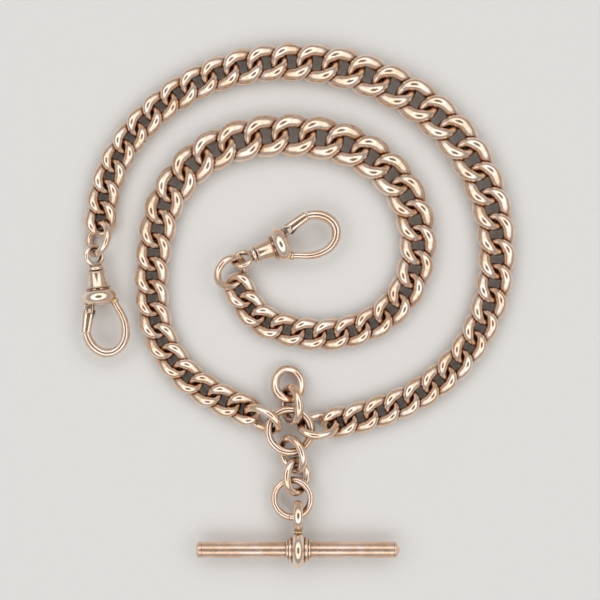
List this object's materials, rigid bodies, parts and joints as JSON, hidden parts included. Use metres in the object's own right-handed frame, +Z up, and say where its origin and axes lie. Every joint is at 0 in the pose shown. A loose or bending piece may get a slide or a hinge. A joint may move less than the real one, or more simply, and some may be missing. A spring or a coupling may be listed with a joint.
{
  "type": "pocket watch chain",
  "caption": "Double Albert pocket watch chain: graduated curb chain laid in a spiral, with swivel clips, a central ring, a fob drop and a T-bar drop.",
  "frame": {"origin": "middle of the laid-out chain's bounding box, at its lowest point", "axes": "+Z up from the surface the chain lies on, +Y from the T-bar across the spiral, +X along the T-bar"},
  "size_m": [0.0812, 0.098, 0.0068],
  "materials": {
    "rose_gold": "polished",
    "pale_rose_gold": "polished",
    "spring_steel": "satin"
  },
  "bodies": {
    "centre_ring": {"centre_ring": "rose_gold"},
    "outer_end_link": {"outer_end_link": "rose_gold"},
    "outer_links_01": {"outer_links_01": "rose_gold"},
    "outer_links_02": {"outer_links_02": "rose_gold"},
    "outer_links_03": {"outer_links_03": "rose_gold"},
    "outer_links_04": {"outer_links_04": "rose_gold"},
    "outer_links_05": {"outer_links_05": "rose_gold"},
    "outer_links_06": {"outer_links_06": "rose_gold"},
    "outer_links_07": {"outer_links_07": "rose_gold"},
    "outer_links_08": {"outer_links_08": "rose_gold"},
    "outer_links_09": {"outer_links_09": "rose_gold"},
    "outer_links_10": {"outer_links_10": "rose_gold"},
    "outer_links_11": {"outer_links_11": "rose_gold"},
    "outer_links_12": {"outer_links_12": "rose_gold"},
    "outer_links_13": {"outer_links_13": "rose_gold"},
    "outer_links_14": {"outer_links_14": "rose_gold"},
    "outer_links_15": {"outer_links_15": "rose_gold"},
    "outer_links_16": {"outer_links_16": "rose_gold"},
    "outer_links_17": {"outer_links_17": "rose_gold"},
    "outer_links_18": {"outer_links_18": "rose_gold"},
    "outer_jump_ring": {"outer_jump_ring": "rose_gold"},
    "outer_swivel_eye": {"outer_swivel_eye": "pale_rose_gold"},
    "outer_hook": {"outer_hook_body": "rose_gold", "outer_gate_pin": "spring_steel"},
    "outer_gate": {"outer_gate": "pale_rose_gold", "outer_gate_spring": "spring_steel"},
    "inner_end_link": {"inner_end_link": "rose_gold"},
    "inner_links_01": {"inner_links_01": "rose_gold"},
    "inner_links_02": {"inner_links_02": "rose_gold"},
    "inner_links_03": {"inner_links_03": "rose_gold"},
    "inner_links_04": {"inner_links_04": "rose_gold"},
    "inner_links_05": {"inner_links_05": "rose_gold"},
    "inner_links_06": {"inner_links_06": "rose_gold"},
    "inner_links_07": {"inner_links_07": "rose_gold"},
    "inner_links_08": {"inner_links_08": "rose_gold"},
    "inner_links_09": {"inner_links_09": "rose_gold"},
    "inner_links_10": {"inner_links_10": "rose_gold"},
    "inner_links_11": {"inner_links_11": "rose_gold"},
    "inner_links_12": {"inner_links_12": "rose_gold"},
    "inner_links_13": {"inner_links_13": "rose_gold"},
    "inner_links_14": {"inner_links_14": "rose_gold"},
    "inner_links_15": {"inner_links_15": "rose_gold"},
    "inner_links_16": {"inner_links_16": "rose_gold"},
    "inner_links_17": {"inner_links_17": "rose_gold"},
    "inner_links_18": {"inner_links_18": "rose_gold"},
    "inner_jump_ring": {"inner_jump_ring": "rose_gold"},
    "inner_swivel_eye": {"inner_swivel_eye": "pale_rose_gold"},
    "inner_hook": {"inner_hook_body": "rose_gold", "inner_gate_pin": "spring_steel"},
    "inner_gate": {"inner_gate": "pale_rose_gold", "inner_gate_spring": "spring_steel"},
    "fob_link": {"fob_link": "rose_gold"},
    "fob_ring": {"fob_ring": "rose_gold"},
    "drop_link_upper": {"drop_link_upper": "rose_gold"},
    "drop_link_lower": {"drop_link_lower": "rose_gold"},
    "t_bar_ring": {"t_bar_ring": "rose_gold"},
    "t_bar_loop": {"t_bar_collar": "pale_rose_gold", "t_bar_bail": "pale_rose_gold"},
    "t_bar": {"t_bar": "rose_gold"}
  },
  "joints": [
    {"name": "outer_end_link_lift", "type": "hinge", "parent": "centre_ring", "child": "outer_end_link", "pos_m": [0.00227, -0.02278, 0.00364], "axis": [-0.1564, 0.9877, 0], "range_deg": [-27, 27]},
    {"name": "outer_links_01_bend", "type": "hinge", "parent": "outer_end_link", "child": "outer_links_01", "pos_m": [0.00434, -0.02266, 0.00174], "axis": [0, 0, 1], "range_deg": [-3, 7]},
    {"name": "outer_links_02_lift", "type": "hinge", "parent": "outer_links_01", "child": "outer_links_02", "pos_m": [0.01348, -0.02045, 0.00174], "axis": [0.2892, -0.9573, 0], "range_deg": [-27, 27]},
    {"name": "outer_links_03_bend", "type": "hinge", "parent": "outer_links_02", "child": "outer_links_03", "pos_m": [0.02107, -0.01745, 0.00175], "axis": [0, 0, -1], "range_deg": [-7, 4]},
    {"name": "outer_links_04_lift", "type": "hinge", "parent": "outer_links_03", "child": "outer_links_04", "pos_m": [0.02776, -0.01269, 0.00177], "axis": [-0.688, 0.7257, 0], "range_deg": [-27, 27]},
    {"name": "outer_links_05_bend", "type": "hinge", "parent": "outer_links_04", "child": "outer_links_05", "pos_m": [0.03295, -0.00613, 0.00182], "axis": [0, 0, 1], "range_deg": [-7, 7]},
    {"name": "outer_links_06_lift", "type": "hinge", "parent": "outer_links_05", "child": "outer_links_06", "pos_m": [0.03615, 0.00193, 0.00188], "axis": [0.9722, -0.2343, 0], "range_deg": [-27, 27]},
    {"name": "outer_links_07_bend", "type": "hinge", "parent": "outer_links_06", "child": "outer_links_07", "pos_m": [0.03708, 0.01096, 0.00196], "axis": [0, 0, -1], "range_deg": [-7, 7]},
    {"name": "outer_links_08_lift", "type": "hinge", "parent": "outer_links_07", "child": "outer_links_08", "pos_m": [0.03547, 0.02036, 0.00203], "axis": [-0.9522, -0.3055, 0], "range_deg": [-27, 27]},
    {"name": "outer_links_09_bend", "type": "hinge", "parent": "outer_links_08", "child": "outer_links_09", "pos_m": [0.0311, 0.02929, 0.00208], "axis": [0, 0, 1], "range_deg": [-7, 7]},
    {"name": "outer_links_10_lift", "type": "hinge", "parent": "outer_links_09", "child": "outer_links_10", "pos_m": [0.02417, 0.03673, 0.00209], "axis": [0.6233, 0.782, 0], "range_deg": [-27, 27]},
    {"name": "outer_links_11_bend", "type": "hinge", "parent": "outer_links_10", "child": "outer_links_11", "pos_m": [0.01542, 0.04192, 0.00206], "axis": [0, 0, -1], "range_deg": [-3, 7]},
    {"name": "outer_links_12_lift", "type": "hinge", "parent": "outer_links_11", "child": "outer_links_12", "pos_m": [0.0059, 0.04482, 0.002], "axis": [-0.1782, -0.984, 0], "range_deg": [-27, 27]},
    {"name": "outer_links_13_bend", "type": "hinge", "parent": "outer_links_12", "child": "outer_links_13", "pos_m": [-0.00363, 0.04547, 0.00192], "axis": [0, 0, 1], "range_deg": [-7, 1]},
    {"name": "outer_links_14_lift", "type": "hinge", "parent": "outer_links_13", "child": "outer_links_14", "pos_m": [-0.01262, 0.0441, 0.00185], "axis": [-0.267, 0.9637, 0], "range_deg": [-24, 27]},
    {"name": "outer_links_15_bend", "type": "hinge", "parent": "outer_links_14", "child": "outer_links_15", "pos_m": [-0.02064, 0.04079, 0.00179], "axis": [0, 0, -1], "range_deg": [-2, 7]},
    {"name": "outer_links_16_lift", "type": "hinge", "parent": "outer_links_15", "child": "outer_links_16", "pos_m": [-0.02743, 0.03587, 0.00176], "axis": [0.6769, -0.736, 0], "range_deg": [-27, 27]},
    {"name": "outer_links_17_bend", "type": "hinge", "parent": "outer_links_16", "child": "outer_links_17", "pos_m": [-0.03275, 0.02962, 0.00175], "axis": [0, 0, 1], "range_deg": [-7, 2]},
    {"name": "outer_links_18_lift", "type": "hinge", "parent": "outer_links_17", "child": "outer_links_18", "pos_m": [-0.03614, 0.02221, 0.00174], "axis": [-0.9589, 0.2838, 0], "range_deg": [-27, 27]},
    {"name": "outer_jump_ring_swing", "type": "hinge", "parent": "outer_links_18", "child": "outer_jump_ring", "pos_m": [-0.03746, 0.01323, 0.00174], "axis": [0.9976, -0.0698, 0], "range_deg": [-27, 24]},
    {"name": "outer_swivel_eye_swing", "type": "hinge", "parent": "outer_jump_ring", "child": "outer_swivel_eye", "pos_m": [-0.03819, 0.00922, 0.00329], "axis": [0, 0, 1], "range_deg": [-7, 7]},
    {"name": "outer_hook_swivel", "type": "hinge", "parent": "outer_swivel_eye", "child": "outer_hook", "pos_m": [-0.03758, 0.00426, 0.00329], "axis": [0.1219, -0.9925, 0], "continuous": true},
    {"name": "outer_gate_hinge", "type": "hinge", "parent": "outer_hook", "child": "outer_gate", "pos_m": [-0.03885, -0.00098, 0.00329], "axis": [0, 0, 1], "range_deg": [0, 30], "stiffness_Nm_per_rad": 0.004, "springref_deg": -20.05},
    {"name": "inner_end_link_lift", "type": "hinge", "parent": "centre_ring", "child": "inner_end_link", "pos_m": [-0.00548, -0.0219, 0.00364], "axis": [-0.3746, -0.9272, 0], "range_deg": [-27, 27]},
    {"name": "inner_links_01_bend", "type": "hinge", "parent": "inner_end_link", "child": "inner_links_01", "pos_m": [-0.00736, -0.02078, 0.00174], "axis": [0, 0, 1], "range_deg": [-7, 4]},
    {"name": "inner_links_02_lift", "type": "hinge", "parent": "inner_links_01", "child": "inner_links_02", "pos_m": [-0.01592, -0.01692, 0.00174], "axis": [0.4807, 0.8769, 0], "range_deg": [-27, 27]},
    {"name": "inner_links_03_bend", "type": "hinge", "parent": "inner_links_02", "child": "inner_links_03", "pos_m": [-0.02233, -0.01191, 0.00175], "axis": [0, 0, -1], "range_deg": [-7, 7]},
    {"name": "inner_links_04_lift", "type": "hinge", "parent": "inner_links_03", "child": "inner_links_04", "pos_m": [-0.0264, -0.00481, 0.00177], "axis": [-0.9476, -0.3196, 0], "range_deg": [-27, 24]},
    {"name": "inner_links_05_bend", "type": "hinge", "parent": "inner_links_04", "child": "inner_links_05", "pos_m": [-0.02754, 0.00347, 0.00182], "axis": [0, 0, 1], "range_deg": [-6, 7]},
    {"name": "inner_links_06_lift", "type": "hinge", "parent": "inner_links_05", "child": "inner_links_06", "pos_m": [-0.02684, 0.01213, 0.00188], "axis": [0.9864, -0.1642, 0], "range_deg": [-24, 27]},
    {"name": "inner_links_07_bend", "type": "hinge", "parent": "inner_links_06", "child": "inner_links_07", "pos_m": [-0.02421, 0.0208, 0.00196], "axis": [0, 0, -1], "range_deg": [-7, 6]},
    {"name": "inner_links_08_lift", "type": "hinge", "parent": "inner_links_07", "child": "inner_links_08", "pos_m": [-0.01784, 0.02783, 0.00203], "axis": [-0.5597, 0.8287, 0], "range_deg": [-27, 24]},
    {"name": "inner_links_09_bend", "type": "hinge", "parent": "inner_links_08", "child": "inner_links_09", "pos_m": [-0.00857, 0.03125, 0.00208], "axis": [0, 0, 1], "range_deg": [-7, 7]},
    {"name": "inner_links_10_lift", "type": "hinge", "parent": "inner_links_09", "child": "inner_links_10", "pos_m": [0.0016, 0.03157, 0.00209], "axis": [-0.1024, -0.9947, 0], "range_deg": [-27, 27]},
    {"name": "inner_links_11_bend", "type": "hinge", "parent": "inner_links_10", "child": "inner_links_11", "pos_m": [0.01139, 0.02891, 0.00206], "axis": [0, 0, -1], "range_deg": [-7, 7]},
    {"name": "inner_links_12_lift", "type": "hinge", "parent": "inner_links_11", "child": "inner_links_12", "pos_m": [0.01885, 0.02245, 0.002], "axis": [0.8215, 0.5702, 0], "range_deg": [-27, 27]},
    {"name": "inner_links_13_bend", "type": "hinge", "parent": "inner_links_12", "child": "inner_links_13", "pos_m": [0.02217, 0.01358, 0.00192], "axis": [0, 0, 1], "range_deg": [-7, 7]},
    {"name": "inner_links_14_lift", "type": "hinge", "parent": "inner_links_13", "child": "inner_links_14", "pos_m": [0.021, 0.00463, 0.00185], "axis": [-0.9274, 0.3741, 0], "range_deg": [-27, 24]},
    {"name": "inner_links_15_bend", "type": "hinge", "parent": "inner_links_14", "child": "inner_links_15", "pos_m": [0.01575, -0.00216, 0.00179], "axis": [0, 0, -1], "range_deg": [-7, 7]},
    {"name": "inner_links_16_lift", "type": "hinge", "parent": "inner_links_15", "child": "inner_links_16", "pos_m": [0.00802, -0.00524, 0.00176], "axis": [0.1587, -0.9873, 0], "range_deg": [-27, 27]},
    {"name": "inner_links_17_bend", "type": "hinge", "parent": "inner_links_16", "child": "inner_links_17", "pos_m": [-0.00017, -0.00508, 0.00175], "axis": [0, 0, 1], "range_deg": [-7, 7]},
    {"name": "inner_links_18_lift", "type": "hinge", "parent": "inner_links_17", "child": "inner_links_18", "pos_m": [-0.00773, -0.00209, 0.00174], "axis": [0.526, 0.8505, 0], "range_deg": [-27, 24]},
    {"name": "inner_jump_ring_swing", "type": "hinge", "parent": "inner_links_18", "child": "inner_jump_ring", "pos_m": [-0.01244, 0.00531, 0.00174], "axis": [-0.9613, -0.2756, 0], "range_deg": [-3, 6]},
    {"name": "inner_swivel_eye_swing", "type": "hinge", "parent": "inner_jump_ring", "child": "inner_swivel_eye", "pos_m": [-0.01054, 0.00855, 0.00329], "axis": [0, 0, 1], "range_deg": [-4, 7]},
    {"name": "inner_hook_swivel", "type": "hinge", "parent": "inner_swivel_eye", "child": "inner_hook", "pos_m": [-0.00587, 0.01035, 0.00329], "axis": [0.9336, 0.3584, 0], "continuous": true},
    {"name": "inner_gate_hinge", "type": "hinge", "parent": "inner_hook", "child": "inner_gate", "pos_m": [-0.00184, 0.01393, 0.00329], "axis": [0, 0, -1], "range_deg": [0, 30], "stiffness_Nm_per_rad": 0.004, "springref_deg": -20.05},
    {"name": "fob_link_lift", "type": "hinge", "parent": "centre_ring", "child": "fob_link", "pos_m": [-0.00173, -0.01937, 0.00364], "axis": [-1, 0, 0], "range_deg": [-27, 27]},
    {"name": "fob_ring_swing", "type": "hinge", "parent": "fob_link", "child": "fob_ring", "pos_m": [-0.00198, -0.01767, 0.00314], "axis": [-0.9986, 0.0523, 0], "range_deg": [-27, 27]},
    {"name": "drop_link_upper_lift", "type": "hinge", "parent": "centre_ring", "child": "drop_link_upper", "pos_m": [-0.00173, -0.02747, 0.00364], "axis": [1, 0, 0], "range_deg": [-27, 27]},
    {"name": "drop_link_lower_bend", "type": "hinge", "parent": "drop_link_upper", "child": "drop_link_lower", "pos_m": [-0.00053, -0.03002, 0.00314], "axis": [0, 0, 1], "range_deg": [-7, 7]},
    {"name": "t_bar_ring_lift", "type": "hinge", "parent": "drop_link_lower", "child": "t_bar_ring", "pos_m": [-0.00083, -0.03382, 0.00284], "axis": [-1, 0, 0], "range_deg": [-27, 27]},
    {"name": "t_bar_loop_swing", "type": "hinge", "parent": "t_bar_ring", "child": "t_bar_loop", "pos_m": [-0.00013, -0.03944, 0.00289], "axis": [0, 0, 1], "range_deg": [-15, 50]},
    {"name": "t_bar_turn", "type": "hinge", "parent": "t_bar_loop", "child": "t_bar", "pos_m": [-0.00013, -0.04562, 0.00344], "axis": [1, 0, 0], "continuous": true}
  ]
}
